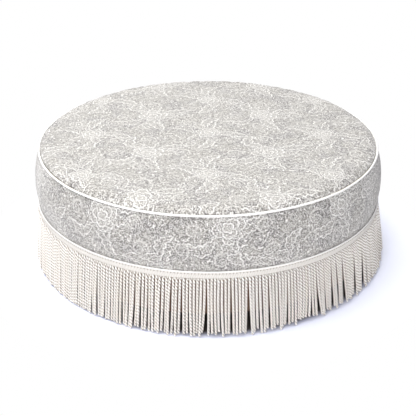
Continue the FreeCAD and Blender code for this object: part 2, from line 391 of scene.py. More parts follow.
def draw_blossom(web, given):
    """A full-blown flower in rings of petals, drawn with outlines and fine hatching."""
    spot = web.scaled(given["Vector"], 1.0 / given["Size"])
    x, y, _ = web.split(spot)
    reach, angle = web.polar(x, y)
    light, dark, rim = 0.0, 0.0, 0.0
    angle = angle + web.sine(angle * 2.0 + 1.0) * 0.22
    for size, shift, petals in ((1.0, 0.0, 6), (0.68, 1.1, 5), (0.38, 0.4, 4)):
        lobe = abs(web.sine(angle * (petals / 2) + shift))
        ruffle = web.sine(angle * (petals * 5.0) + shift) * 0.025
        edge = (lobe**0.6 * 0.36 + 0.64 + ruffle) * size
        inside = edge - reach
        cover = web.within(inside, -0.01, 0.01)
        hatch = web.sine(angle * (petals * 8.0)) * web.within(inside, 0.1, 0.34, 1.0, 0.15)
        parting = web.line(lobe, 0.2) * web.within(reach, size * 0.35, size * 0.6)
        drawn = web.larger(web.line(inside, 0.05), web.larger(parting * 0.8, hatch * 0.7))
        dark = web.larger(dark * (1.0 - cover), drawn * web.within(inside, -0.06, 0.0))
        rim = web.larger(rim * (1.0 - cover), web.line(inside - 0.075, 0.07))
        light = light * (1.0 - cover) + cover * (0.55 + 0.45 * (1.0 - size))
    return {"Light": light, "Dark": dark, "Rim": rim}


def draw_leaf(web, given):
    """A bent leaf along x with a scalloped edge, a midrib and slanting veins."""
    x, y, _ = web.split(given["Vector"])
    along = x / given["Length"]
    room = web.larger(along - along * along, 0.0)
    across = y / given["Width"] - given["Bend"] * room * 4.0
    scallop = web.sine(along * 26.0) * 0.14 + 1.0
    inside = (room * 4.0) ** 0.6 * scallop - abs(across)
    inside = inside - web.within(room, 0.0, 0.02, 2.0, 0.0)
    cover = web.within(inside, -0.03, 0.03)
    veins = web.sine(along * 40.0 - abs(across) * 4.0)
    dark = web.larger(web.line(inside, 0.16), web.line(across, 0.14) * cover)
    dark = web.larger(dark, web.within(veins, 0.2, 0.9) * cover * 0.75)
    return {"Light": cover * 0.6, "Dark": dark, "Rim": web.line(inside - 0.24, 0.16) * cover}


def draw_curl(web, given):
    """A stem that winds in to a curl, as a ribbon with a fine line to each side."""
    x, y, _ = web.split(given["Vector"])
    reach, turn = web.polar(x, y)
    reach, turn = reach / given["Size"], turn * (0.5 / math.pi) + given["Turn"]
    winding = web.math("FRACT", turn + web.math("LOGARITHM", reach + 0.02, 2.4) * 0.95)
    middle = abs(winding - 0.5) * 2.0
    kept = web.within(reach, 0.06, 0.16) * web.within(reach, 0.86, 1.0, 1.0, 0.0)
    return {
        "Light": web.within(middle, 0.55, 0.7) * kept * 0.6,
        "Dark": web.line(middle - 0.52, 0.18) * kept * 0.9,
        "Rim": web.line(middle - 0.88, 0.2) * kept * 0.5,
    }


MASKS = ["Light", "Dark", "Rim"]
blossom = effect("woven blossom", draw_blossom, MASKS, Size=0.05)
leaf = effect("woven leaf", draw_leaf, MASKS, Length=0.06, Width=0.012, Bend=0.5)
curl = effect("woven curl", draw_curl, MASKS, Size=0.03, Turn=0.0)

# The cloth's repeat: a large flower at each corner, and one turned about in each middle
REPEAT = (0.3, 0.25)


def draw_jacquard(web, given):
    """Flowers in a half-drop, each in its own leaves and curls, over a ground of fine curls."""
    spot = given["Vector"]
    drift = web.vector("SUBTRACT", web.noise(spot, 20.0, 1.0, key="Color"), (0.5, 0.5, 0.5))
    loose = web.vector("ADD", spot, web.scaled(drift, 0.02))
    half = (REPEAT[0] / 2, REPEAT[1] / 2, 0.5)
    back = tuple(-h for h in half)
    corner = web.vector("WRAP", loose, half, back)
    middle = web.vector("WRAP", web.vector("SUBTRACT", loose, (half[0], half[1], 0.0)), half, back)

    def distance(place):
        return web.out(web.node("VectorMath", {0: place}, operation="LENGTH"), "Value")

    second = web.math("LESS_THAN", distance(middle), distance(corner))
    here = web.vector("MULTIPLY_ADD", web.vector("SUBTRACT", middle, corner), web.joined(second, second), corner)
    turned = web.node("VectorRotate", {"Vector": here, "Angle": second * 2.5 + 0.7}, rotation_type="Z_AXIS")
    x, y, _ = web.split(web.out(turned))
    reach, angle = web.polar(x, y)

    light, dark, rim = 0.0, 0.0, 0.0

    def lay(masks):
        nonlocal light, dark, rim
        hidden = 1.0 - web.within(masks["Light"], 0.0, 0.3)
        light = web.larger(light * hidden, masks["Light"])
        dark = web.larger(dark * hidden, masks["Dark"])
        rim = web.larger(rim * hidden, masks["Rim"])

    def spread(count, shift, start, slant):
        """Places round the flower, as if each lay along x from start and slanted, and a value of its own."""
        sector = angle * (count / TURN) + shift
        own = web.sine(web.math("FLOORED_MODULO", web.math("FLOOR", sector), count) * 2.3 + second * 1.7)
        aside = (web.math("FRACT", sector) - 0.5) * (TURN / count)
        along, across = reach * web.math("COSINE", aside) - start, reach * web.sine(aside)
        c, s = math.cos(slant), math.sin(slant)
        return along * c + across * s, across * c - along * s, own

    along, across, own = spread(4.0, 0.5, 0.082, 0.0)
    lay(web.use(curl, Vector=web.joined(along, across - own * 0.014), Size=0.024, Turn=own * 0.5))
    outer_leaves, inner_leaves = (4.0, 0.0, 0.036, -0.55), (5.0, 0.3, 0.021, 0.6)
    for ring, length, width, bend in ((outer_leaves, 0.074, 0.017, 1.5), (inner_leaves, 0.05, 0.014, 1.2)):
        along, across, own = spread(*ring)
        lay(web.use(leaf, Vector=web.joined(along, across), Length=length, Width=width, Bend=own * bend))
    lay(web.use(blossom, Vector=web.joined(x, y), Size=0.034 + second * 0.008))

    open_ground = 1.0 - web.within(light, 0.02, 0.2)
    patches = web.within(web.noise(spot, 17.0, 2.0), 0.44, 0.62)
    breaks = web.noise(spot, 120.0, 1.0)
    winding = web.sine(web.noise(loose, 36.0, 1.5) * 84.0 + breaks * 9.0)
    fine = web.noise(spot, 300.0, 1.0)
    kept = web.within(breaks, 0.42, 0.56)
    lines = web.within(winding, -0.3, -0.95) * (1.0 - kept) * open_ground
    speck = web.within(fine, 0.5, 0.64)
    specks = speck * (0.45 + 0.3 * open_ground + 0.25 * patches)
    dark = web.larger(dark * (0.6 + 0.4 * kept), web.larger(lines * 0.9, specks))
    rim = web.larger(rim * (0.6 + 0.4 * kept), web.within(winding, 0.35, 0.95) * kept * open_ground * 0.9)
    rim = web.larger(rim, web.within(fine, 0.5, 0.37) * (0.75 - 0.3 * open_ground))
    return {"Light": light, "Dark": dark, "Rim": rim, "Patches": patches}


jacquard = effect("floral jacquard", draw_jacquard, [*MASKS, "Patches"])


def draw_weave(web, given):
    """Warp and weft over and under each other: their height, and an uneven thread."""
    x, y, _ = web.split(web.scaled(given["Vector"], 1.0 / given["Thread"]))
    warp = web.sine(x * math.pi)
    weft = web.sine(y * math.pi)
    slub = web.noise(web.joined(x * 0.02, y * 0.6), 1.0, 2.0)
    return {"Height": abs(warp) * 0.5 + abs(weft) * 0.5 + slub * 0.4, "Slub": slub}


weave = effect("plain weave", draw_weave, ["Height", "Slub"], Thread=0.001)


def draw_grain(web, given):
    """Wood grain along x, as a light or dark share."""
    x, y, z = web.split(given["Vector"])
    stretched = web.joined(x * 3.0, y * 40.0, z * 40.0)
    rings = web.noise(stretched, given["Fineness"], 4.0, 0.6)
    pores = web.noise(web.joined(x * 30.0, y * 500.0, z * 500.0), 1.0, 1.0)
    return {"Grain": rings * 0.8 + pores * 0.2}


grain = effect("wood grain", draw_grain, ["Grain"], Fineness=1.0)


def cover_cloth(web):
    """The woven floral cover: greige ground, pale motifs and grey outlines, with painted brown shade on the band where
    it lies behind the fringe.
    """
    spot = cloth_spot(web)
    masks = web.use(jacquard, Vector=spot)
    threads = web.use(weave, Vector=spot, Thread=0.0009)
    tone = web.mixed(masks["Patches"], linear(161, 158, 151), linear(143, 140, 137))
    for mask, colour in (("Light", (186, 183, 176)), ("Dark", (78, 76, 75)), ("Rim", (248, 247, 243))):
        tone = web.mixed(masks[mask] * 0.95, tone, linear(*colour))
    tone = web.mixed(web.within(threads["Slub"], 0.35, 0.7) * 0.14, tone, linear(168, 160, 148))
    # Painted shade: the band below the heading, behind the fringe, is mixed to a dark brown
    tone = web.mixed(web.mark("painted_fringe_shade"), tone, linear(128, 100, 80))
    rough = web.within(masks["Light"], 0.0, 1.0, 0.78, 0.62)
    return surface(web, tone, rough, threads["Height"], 0.0003, 0.7, Sheen_Weight=0.3, Sheen_Roughness=0.5)


def plain_cloth(name, colour, thread, dirt=0.12, depth=0.0003):
    """A cloth or felt of one colour with its weave and a little unevenness."""
    colour = linear(*colour)
    worn_colour, slub_colour = ((*(c * share for c in colour[:3]), 1.0) for share in (0.55, 0.7))

    def draw(web):
        threads = web.use(weave, Vector=cloth_spot(web), Thread=thread)
        worn = web.noise(object_spot(web), 60.0, 3.0)
        tone = web.mixed(web.within(worn, 0.3, 0.8) * dirt, colour, worn_colour)
        tone = web.mixed(web.within(threads["Slub"], 0.3, 0.8) * dirt, tone, slub_colour)
        rough = web.within(worn, 0.2, 0.8, 0.75, 0.95)
        return surface(web, tone, rough, threads["Height"], depth, 0.7, Sheen_Weight=0.1)

    return finish_of(name, draw)


def cord_yarn(web):
    """Ivory twisted yarn, each cord of its own tone, with painted shade in the groove between the plies and on the
    sides of each cord that face away from the front.
    """
    x, y, _ = web.split(cloth_spot(web))
    strands = web.sine(x * (TURN * 22) - y * (TURN / 0.016))
    hairs = web.noise(web.joined(x * 30.0, y * 900.0), 1.0, 2.0)
    # How deep each point lies between the plies; the yarn paints shade there, tan and then dark brown
    deep = web.mark("groove")
    tone = web.mixed(web.mark("tone"), linear(255, 254, 251), linear(251, 247, 239))
    # Painted shade: brown on the sides of each cord that face sideways and in towards the drum, then tan and dark
    # brown in the groove between the plies
    for value, low, high, share, colour in (
        (hairs, 0.35, 0.75, 0.15, (242, 236, 225)), (web.mark("painted_side_shade"), 0.3, 0.95, 0.55, (104, 82, 64)),
        (deep, 0.12, 0.55, 0.7, (218, 207, 192)), (deep, 0.5, 0.94, 0.95, (88, 70, 56)),
    ):
        tone = web.mixed(web.within(value, low, high) * share, tone, linear(*colour))
    rough = web.within(hairs, 0.2, 0.8, 0.45, 0.65)
    return surface(web, tone, rough, strands * 0.5 + hairs, 0.0002, 0.6, Sheen_Weight=0.6, Sheen_Roughness=0.4)


def braid_cloth(web):
    """The ivory braid of the fringe heading, ribbed upright with a row of needle holes, with painted shade in the
    hollows between the ribs and in the holes.
    """
    x, y, _ = web.split(cloth_spot(web))
    turn = x * (TURN * CORDS / HEADING_ROUND)
    ribs = web.sine(turn * 2.0 - y * 500.0)
    rows = web.sine(y * (TURN / 0.0016))
    holes = web.within(web.sine(turn), 0.0, 0.8) * web.line(y - 0.0072, 0.0019)
    hairs = web.noise(object_spot(web), 300.0, 3.0)
    tone = web.mixed(web.within(hairs, 0.3, 0.8) * 0.35, linear(235, 233, 228), linear(219, 214, 205))
    # Painted shade in the hollows between the ribs, and in the needle holes
    tone = web.mixed(web.within(ribs, 0.0, -0.9) * 0.5, tone, linear(190, 176, 156))
    tone = web.mixed(holes * 0.9, tone, linear(124, 108, 92))
    relief = ribs + rows * 0.3 + hairs - holes * 3.0
    return surface(web, tone, web.within(hairs, 0.2, 0.8, 0.7, 0.9), relief, 0.0004, 0.8, Sheen_Weight=0.15)


UPRIGHT = (0, math.pi / 2, 0)


def bare_wood(name, light, dark, fineness=1.0, rough=0.6, turn=(0, 0, 0)):
    """Wood with its grain along x, turned where the piece runs another way."""

    def draw(web):
        spot = web.out(web.node("Mapping", {"Vector": object_spot(web), "Rotation": turn}))
        lines = web.use(grain, Vector=spot, Fineness=fineness)["Grain"]
        tone = web.mixed(web.within(lines, 0.35, 0.65), linear(*light), linear(*dark))
        return surface(web, tone, web.within(lines, 0.3, 0.7, rough, rough + 0.15), lines, 0.0003, 0.5)

    return finish_of(name, draw)


def plywood_board(web):
    """Birch plywood: a plain face, and dark glue lines through the edge."""
    spot = object_spot(web)
    lines = web.use(grain, Vector=spot, Fineness=0.6)["Grain"]
    plies = web.within(web.sine(web.split(spot)[2] * (TURN / 0.0026)), 0.1, 0.6)
    tone = web.mixed(web.within(lines, 0.35, 0.65), linear(222, 192, 148), linear(198, 163, 116))
    tone = web.mixed(plies * 0.35, tone, linear(140, 100, 62))
    return surface(web, tone, web.within(lines, 0.3, 0.7, 0.55, 0.7), lines, 0.0002, 0.5)


def zinc(web):
    """Zinc-plated steel with a faint crystal mottle."""
    mottle = web.noise(object_spot(web), 900.0, 2.0)
    tone = web.mixed(mottle, linear(205, 205, 200), linear(170, 170, 168))
    return {"Base Color": tone, "Metallic": 1.0, "Roughness": web.within(mottle, 0.3, 0.7, 0.28, 0.5)}


COVER = finish_of("floral cover", cover_cloth)
PIPING = plain_cloth("white piping cloth", (243, 242, 239), 0.0007, 0.04, 0.0001)
COTTON = plain_cloth("cotton cord", (232, 226, 212), 0.0012)
YARN = finish_of("ivory yarn", cord_yarn)
BRAID = finish_of("ivory braid", braid_cloth)
JUTE = plain_cloth("jute webbing", (186, 158, 112), 0.0022, 0.4, 0.0008)
HESSIAN = plain_cloth("hessian", (184, 160, 118), 0.0018, 0.4, 0.0005)
FOAM = plain_cloth("upholstery foam", (240, 228, 180), 0.003, 0.2, 0.0002)
WADDING = plain_cloth("polyester wadding", (244, 244, 240), 0.004, 0.1, 0.001)
DUST = plain_cloth("black dust cloth", (38, 37, 36), 0.0016, 0.4, 0.0002)
FELT = plain_cloth("grey felt", (120, 116, 108), 0.0011, 0.4, 0.0004)
PLY = finish_of("birch plywood", plywood_board)
HARDBOARD = bare_wood("hardboard", (126, 88, 56), (100, 68, 42), 6.0, 0.65)
PINE = bare_wood("pine", (224, 192, 140), (196, 156, 102), 0.8)
PINE_UPRIGHT = bare_wood("pine upright", (224, 192, 140), (196, 156, 102), 0.8, 0.6, UPRIGHT)
FOOT_WOOD = bare_wood("dark stained foot", (72, 46, 32), (38, 24, 18), 1.2, 0.35, UPRIGHT)
ZINC = finish_of("zinc plate", zinc)

for node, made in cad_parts.items():
    kind = node.rstrip("0123456789_")
    finish = {
        "base_ring": PLY, "top_ring": PLY, "drum_skin": HARDBOARD, "rail_across": PINE, "rail_along": PINE,
        "post": PINE_UPRIGHT, "foot": FOOT_WOOD, "foot_screws": ZINC,
    }.get(kind)
    if finish:
        made.material_slots[0].material = finish


# Simulated filling


def blown(points, quads, held, fill):
    """How far each point of a cloth skin moves when its filling presses on it unevenly.

    The skin is pinned where held is set. Fill says how firmly the filling presses at each point.
    """
    scene = bpy.context.scene
    mesh = bpy.data.meshes.new("skin")
    mesh.from_pydata(points.tolist(), [], quads.tolist())
    skin = added("skin", mesh)
    skin.vertex_groups.new(name="held").add(np.flatnonzero(held).tolist(), 1.0, "REPLACE")
    pressed = skin.vertex_groups.new(name="fill")
    for number, share in enumerate(fill):
        pressed.add([number], float(share), "REPLACE")
    cloth = skin.modifiers.new("cloth", "CLOTH")
    settings = cloth.settings
    settings.quality = 5
    settings.mass = 0.1
    settings.tension_stiffness = settings.compression_stiffness = 20.0
    settings.bending_stiffness = 0.4
    settings.vertex_group_mass = "held"
    settings.use_pressure = True
    settings.uniform_pressure_force = 4.0
    settings.vertex_group_pressure = "fill"
    settings.effector_weights.gravity = 0.0
    cloth.collision_settings.use_collision = False
    cloth.point_cache.frame_start, cloth.point_cache.frame_end = 1, 20
    for frame_number in range(1, 21):
        scene.frame_set(frame_number)
    shaped = skin.evaluated_get(bpy.context.evaluated_depsgraph_get())
    after = np.empty(len(points) * 3, np.float32)
    shaped.data.vertices.foreach_get("co", after)
    scene.frame_set(1)
    bpy.data.objects.remove(skin)
    bpy.data.meshes.remove(mesh)
    return after.reshape(-1, 3) - points


def uneven_part(moves, columns, limit):
    """A skin's moves less their mean in each row, since the outline has its even swell already."""
    moves = moves.reshape(-1, columns)
    return limit * np.tanh((moves - moves.mean(1, keepdims=True)) / limit)


def looked_up(table, share, angles):
    """Values of a table whose rows run along share from 0 to 1 and whose columns run round the seat."""
    rows, columns = table.shape
    row = unit(share) * (rows - 1)
    column = np.broadcast_to(angles / TURN * columns, row.shape) % columns
    r, c = np.minimum(row.astype(int), rows - 2), column.astype(int) % columns
    row, column = row - r, column - np.floor(column)
    ahead = (c + 1) % columns
    low = table[r, c] * (1 - column) + table[r, ahead] * column
    high = table[r + 1, c] * (1 - column) + table[r + 1, ahead] * column
    return low * (1 - row) + high * row


def filled(line, columns, held_rows):
    """How far a skin spun from a line moves, from how firmly a few crossing swells of filling press on it."""
    points = spun_points(line, circle(columns))
    held = np.zeros((len(line), columns), bool)
    held[held_rows] = True
    size, shift = random.uniform(0.08, 0.16, 9), random.uniform(0, 6, 9)
    ways = random.normal(0, 16, (9, 3))
    firm = np.clip(0.6 + (size * np.sin(points @ ways.T + shift)).sum(1), 0.1, 1.0)
    return blown(points, grid(len(line), columns, ring=True), held.ravel(), firm)


# Cover


def crown_profile(drop=0.0):
    """The seat's upper outline from the middle to the seam, lowered and drawn in by drop."""
    shoulder = (SEAM_RADIUS - SHOULDER_WIDTH - drop, SEAM_HEIGHT + SHOULDER_RISE - drop)
    r = np.linspace(0, shoulder[0], 44)
    fall = CROWN_RISE - SHOULDER_RISE
    z = SEAM_HEIGHT + CROWN_RISE - drop - fall * (r / shoulder[0]) ** 2
    slope = -2 * fall / shoulder[0]
    edge = (COVER_EDGE[0] - drop, COVER_EDGE[1] - drop)
    span = edge[0] - shoulder[0]
    t = np.linspace(0, 1, 15)[1:]
    first = np.array([shoulder[0] + span * 0.62, shoulder[1] + slope * span * 0.62])
    bend = np.array([edge[0] - 0.0035, edge[1] + 0.0062])
    points = [
        (1 - k) ** 3 * np.array(shoulder) + 3 * k * (1 - k) ** 2 * first + 3 * k * k * (1 - k) * bend
        + k**3 * np.array(edge) for k in t
    ]
    return np.concatenate([np.stack([r, z], -1), points])


CROWN_ROWS, CROWN_COLUMNS, CROWN_HOLE = 40, 180, 0.01
BAND_ROWS, BAND_COLUMNS = 15, 320
start = np.linspace(COVER_EDGE[0], CROWN_HOLE, CROWN_ROWS)
start = np.stack([start, np.interp(start, *crown_profile().T) - 0.001], -1)
crown_moves = uneven_part(filled(start, CROWN_COLUMNS, [0])[:, 2], CROWN_COLUMNS, 0.0014) * 0.8
start = arc_through((WAIST[0] - 0.001, WAIST[1]), (SWELL[0] - 0.001, SWELL[1]), (0.4358, BAND_TOP), BAND_ROWS)
outwards = np.tile(placed(1.0, circle(BAND_COLUMNS), 0.0), (BAND_ROWS, 1))
band_moves = uneven_part((filled(start, BAND_COLUMNS, [0, -1]) * outwards).sum(1), BAND_COLUMNS, 0.0012) * 0.7


def crown_ripple(radius, height, angles):
    """Soft hollows in the seat, and small pulls that run in from the seam."""
    x, y = radius * np.cos(angles), radius * np.sin(angles)
    soft = 0.0006 * np.sin(9 * x + 1.3) * np.sin(8 * y + 0.4) + 0.0004 * np.sin(17 * x - 11 * y)
    pulls_start = 0.385
    share = unit((radius - pulls_start) / (COVER_EDGE[0] - pulls_start))
    pulls = waves(angles, ((61, 0.00022, 0.3), (83, 0.00018, 1.9), (37, 0.00025, 4.0), (9, 0.0004, 2.2)))
    inner = unit(1 - share**3)
    puff = looked_up(crown_moves, (COVER_EDGE[0] - radius) / (COVER_EDGE[0] - CROWN_HOLE), angles)
    puff = puff * unit(radius / 0.04) * unit((COVER_EDGE[0] - radius) / 0.01)
    return np.zeros_like(radius), soft * inner + pulls * np.sin(np.pi * share) * 1.6 + puff


top = spun_piece("top_cover_cloth", crown_profile()[::-1], 360, COVER, ripple=crown_ripple)
thicken(top, CLOTH)
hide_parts("top_cover")

corner = round_corners([(0.4, 0.1), (BASE_RADIUS, 0.1), (BASE_RADIUS, DUST_TOP), (0.4, DUST_TOP)], 0.006)[10:15]
band_line = np.concatenate([
    arc_through((0.4368, BAND_TOP), SWELL, WAIST, 34), BAND_BASE, corner, [(0.415, DUST_TOP), (FOLD_END, DUST_TOP)],
])
band_line, band_down = evenly(band_line, 0.0045)


def fullness(height, angles):
    """How far the padding stands out unevenly at a height: broad swells, and pulls from the seam."""
    share = unit((height - WAIST[1]) / (BAND_TOP - WAIST[1]))
    full = waves(angles, ((5, 0.0005, 0.2), (9, 0.0003, 1.1)))
    puff = looked_up(band_moves, share, angles)
    pulls = waves(angles, ((59, 0.0002, 0.9), (78, 0.00016, 2.4), (41, 0.00024, 5.0)))
    return full * np.sin(np.pi * share) + pulls * unit(share - 0.6) * 2.5 * np.cos(share * 1.4) + puff


def join_dip(angles, depth, width):
    """The hollow along each of the band's two upright joins."""
    away = np.abs((angles - JOIN_ANGLE + math.pi / 2) % math.pi - math.pi / 2) * SEAM_RADIUS
    return -depth * np.exp(-((away / width) ** 2))


def band_ripple(radius, height, angles):
    below = unit((height - DUST_TOP) / 0.01)
    return fullness(height, angles) * below + join_dip(angles, 0.0011, 0.0016) * below, np.zeros_like(radius)


def padding_ripple(radius, height, angles):
    outer = unit((radius - 0.43) / 0.008)
    return (fullness(height, angles) + join_dip(angles, 0.0015, 0.006)) * outer, np.zeros_like(radius)


for number in range(2):
    gap = 0.0001 / SEAM_RADIUS
    angles = np.linspace(JOIN_ANGLE + number * math.pi + gap, JOIN_ANGLE + (number + 1) * math.pi - gap, 330)
    ends = np.array([0.0007, 0.0014, 0.0021, 0.0032, 0.0048]) / SEAM_RADIUS
    angles = np.sort(np.concatenate([angles, angles[0] + ends, angles[-1] - ends]))
    points = spun_points(band_line, angles, band_ripple)
    across = (angles - angles[0]) * 0.445
    spots = cloth_places(across + 1.73 * number + 0.11, 0.9 - band_down[:, None])
    # The band below the heading carries a mark for the painted brown shade behind the fringe
    band = piece(
        f"side_band_cloth_{number + 1}", points, grid(len(band_line), len(angles))[:, ::-1], COVER,
        layout=(spots, None),
        marks={"painted_fringe_shade": np.repeat(unit((0.154 - band_line[:, 1]) / 0.004), len(angles))},
    )
    thicken(band, CLOTH)
    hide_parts(f"side_band_{number + 1}")

# Piping

PIPING_AROUND = 720
turns = circle(PIPING_AROUND)
wobble = waves(turns, ((23, 0.00012, 0.4), (57, 0.0001, 2.0), (7, 0.0002, 1.0)))
line = placed(SEAM_RADIUS + wobble, turns, SEAM_HEIGHT + waves(turns, ((11, 0.0002, 0.7), (31, 0.00012, 3.1))))
thick = 0.00265 + waves(turns, ((141, 0.00004, 0.0), (203, 0.00004, 1.0)))


def ring_layout(around, sides, radius, girth):
    """Cloth places for a tube that runs all the way round, with no jump at its ends."""
    along = np.linspace(0, TURN * radius, around + 1)[:, None]
    return cloth_places(along, np.linspace(0, girth, sides + 1)), [grid(around + 1, sides + 1)[:, ::-1]]


points, faces = tubes([line], thick[None], 14, closed=True)
layout = ring_layout(PIPING_AROUND, 14, SEAM_RADIUS, 0.0167)
piping = piece("piping_bias_strip", points, faces, PIPING, layout)
flange_line = [(0.4346, 0.2993), (0.4344, 0.296), (0.4342, 0.2885)]
seam_flange = piece(
    "piping_flange", spun_points(flange_line, turns), grid(3, PIPING_AROUND, ring=True)[:, ::-1], PIPING,
    (cloth_places(turns * SEAM_RADIUS, np.array([0, 0.004, 0.011])[:, None]), None),
)
thicken(seam_flange, 0.0009)
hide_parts("piping_wrap")
points, faces = tubes([line], np.full((1, PIPING_AROUND), 0.0019), 10, closed=True)
layout = ring_layout(PIPING_AROUND, 10, SEAM_RADIUS, 0.012)
core = piece("piping_filler_cord", points, faces, COTTON, layout)
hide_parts("piping_core")

# Fringe heading


def side_radius(height):
    """Outside of the band between the base and the heading's top."""
    radius, place = np.transpose([WAIST, *BAND_BASE])[:, ::-1]
    return np.interp(height, place, radius)


RIBS = 2 * CORDS
around = RIBS * 4
turns = circle(around)
heights = [0.1452, 0.1455, 0.147, 0.149, 0.151, 0.153, 0.1555, 0.157, 0.1582, 0.16, 0.1608]
relief = [0.1, 0.5, 1.0, 1.0, 1.0, 1.0, 0.8, 0.1, 0.1, 0.1, 0.0]
proud = [0.0018, 0.0025, 0.0028, 0.0028, 0.0027, 0.0026, 0.0024, 0.0018, 0.0018, 0.0022, 0.001]
rows = []
for height, depth, out in zip(heights, relief, proud):
    rib = 0.5 + 0.5 * np.cos(turns * RIBS - height * 500)
    radius = side_radius(height) + SOFT_GAP + out + 0.0006 * depth * rib + waves(turns, ((13, 0.0002, 1.0),))
    rows.append(placed(radius, turns, height))
back = [heights[-1], heights[0]]
rows += [placed(side_radius(height) + SOFT_GAP, turns, height) for height in back]
down = HEADING_TOP - np.array([*heights, *back, heights[0]])
spots = cloth_places(np.linspace(0, HEADING_ROUND, around + 1), down[:, None])
heading = piece(
    "fringe_heading_braid", np.reshape(rows, (-1, 3)), grid(len(rows), around, ring=True, closed=True),
    BRAID, (spots, [grid(len(rows) + 1, around + 1)]),
)
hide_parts("fringe_heading")


def plied(turn, ply=0.0021, apart=0.0013):
    """Radius of a two-ply cord's outline in a direction, and how deep that is in the groove."""
    radius = apart * abs(np.cos(turn)) + np.sqrt(ply**2 - (apart * np.sin(turn)) ** 2)
    return radius, 1 - (radius - math.sqrt(ply**2 - apart**2)) / (ply + apart - math.sqrt(ply**2 - apart**2))


# The heading's upper edge is a slim twisted cord
around, sides = 2640, 10
turns, ring = circle(around), circle(sides)
edge_radius = side_radius(0.163) + SOFT_GAP + 0.0023
twist = np.round(TURN * edge_radius / 0.007) * turns[:, None]
reach, depth = plied(ring - twist, 0.0015, 0.00055)
points = placed(edge_radius + reach * np.cos(ring), turns[:, None], HEADING_TOP - 0.0021 + reach * np.sin(ring))
flat = np.zeros(depth.size)
# The edge cord's groove mark, at a reduced share, paints shade between its plies
edge_cord = piece(
    "heading_edge_cord", points.reshape(-1, 3), grid(around, sides, ring=True, closed=True)[:, ::-1],
    YARN, ring_layout(around, sides, edge_radius, 0.011),
    {"groove": depth.ravel() * 0.4, "tone": flat, "painted_side_shade": flat},
)

# Fringe cords

# Neighbours gather in small groups towards the hem, some in front of others
start_angle = np.arange(CORDS) * (TURN / CORDS)
middle_radius = side_radius(HEADING_BOTTOM) + SOFT_GAP + 0.0034
flare_out = 0.0138
reach_out = flare_out + 0.0034 * np.cos(start_angle) + 0.0055 * unit(-np.sin(start_angle)) ** 3
right_side = unit(np.cos(start_angle + 0.6))
stray = np.clip(random.normal(0, 1, CORDS) * (0.0014 + 0.0026 * right_side), -0.0046, 0.0046)
hem_radius = middle_radius + flare_out
place = start_angle * hem_radius
hem = place.copy()
first = 0
while first < CORDS:
    size = min(int(random.integers(1, 7)), CORDS - first)
    group = np.arange(first, first + size)
    pull = 0.2 * random.uniform(0.0, 1.0)
    hem[group] += (place[group].mean() - place[group]) * pull + random.normal(0, 0.0012 + 0.0026 * right_side[first])
    first += size
hem += random.normal(0, 0.0012, CORDS)
# Those that overlap are pushed apart, the more the less one stands in front of the other
room = np.sqrt(np.maximum(0.0069**2 - (np.roll(stray, -1) - stray) ** 2, 0.0046**2))
for _ in range(160):
    push = np.clip(room - np.diff(hem, append=hem[0] + TURN * hem_radius), 0, None) / 2
    hem += np.roll(push, 1) - push
lean = 0.8 * (hem - place) / hem_radius
wander = random.normal(0, 0.0006, CORDS)
hem_height = 0.0008 + np.abs(random.normal(0, 0.0028, CORDS)) * (0.8 + 2.0 * right_side)
hem_height = np.clip(hem_height + 0.0006 * np.sin(start_angle * 11 + 1), 0.0006, 0.014)[:, None]
rings = 98
s = np.linspace(0, 1, rings)[None, :]
height = HEADING_BOTTOM + (hem_height - HEADING_BOTTOM) * s
below = HEADING_BOTTOM - height
neck = unit(below / 0.008)
neck = neck * neck * (3 - 2 * neck)
flare = reach_out[:, None] * (1.25 * s - 0.25 * s**2) + stray[:, None] * s - 0.0013 * (1 - neck)
angle = start_angle[:, None] + lean[:, None] * s**2.6 + (wander[:, None] * np.sin(np.pi * s)) / hem_radius
centre = placed(middle_radius + flare, angle, height)
outward, sideways = placed(1.0, angle, 0.0), placed(1.0, angle + math.pi / 2, 0.0)

# Each ring of a cord turns with its plies, so that the groove between them stays sharp
quarter = np.radians([0, 33, 62, 90, 118, 147])
section = np.concatenate([quarter, quarter + math.pi])
lay = 0.016 * random.uniform(0.94, 1.06, CORDS)
twist = TURN * below / lay[:, None] + random.uniform(0, TURN, CORDS)[:, None]
reach, depth = plied(section)
depth = np.tile(depth, CORDS * rings).reshape(CORDS, -1)
closing = np.sqrt(np.clip(1 - (1 - unit((height - hem_height) / 0.003)) ** 2, 0.004, 1))
loose = 1 + 0.05 * np.sin(s * 40 + start_angle[:, None] * 50)
reach = reach * (closing * loose)[..., None]
turned = section + twist[..., None]
# A cord starts flattened and spread, where the heading holds it
out = reach * np.cos(turned) * (0.62 + 0.38 * neck)[..., None]
aside = reach * np.sin(turned) * (1.2 - 0.2 * unit(below / 0.0045))[..., None]
points = centre[:, :, None] + outward[:, :, None] * out[..., None] + sideways[:, :, None] * aside[..., None]
# Painted shade on the sides of each cord that face sideways and in towards the drum
painted_side_shade = 1 - unit(0.55 + 1.1 * np.cos(turned))
tones = unit(random.normal(0.4, 0.25, CORDS))

sectors = 8
each = CORDS // sectors
corners = len(section)
step = (np.arange(each) * rings * corners)[:, None, None]
quads = (grid(rings, corners, ring=True) + step).reshape(-1, 4)[:, ::-1]
cap = np.arange(corners) + step[:, 0]
caps = np.concatenate([cap, cap[:, ::-1] + (rings - 1) * corners])
spots = cloth_places(np.linspace(0, 1, corners + 1), (s[0] * HEADING_BOTTOM)[:, None])
layout = (spots, [np.tile(grid(rings, corners + 1), (each, 1))[:, ::-1], np.zeros(caps.shape, int)])
for sector in range(sectors):
    own = slice(sector * each, (sector + 1) * each)
    tone = np.repeat(tones[own], rings * corners)
    marks = {"groove": depth[own].ravel(), "tone": tone, "painted_side_shade": painted_side_shade[own].ravel()}
    shape = points[own].reshape(-1, 3)
    piece(f"fringe_cords_{sector + 1}", shape, [quads, caps], YARN, layout, marks)
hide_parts("fringe_cords")

# Inside


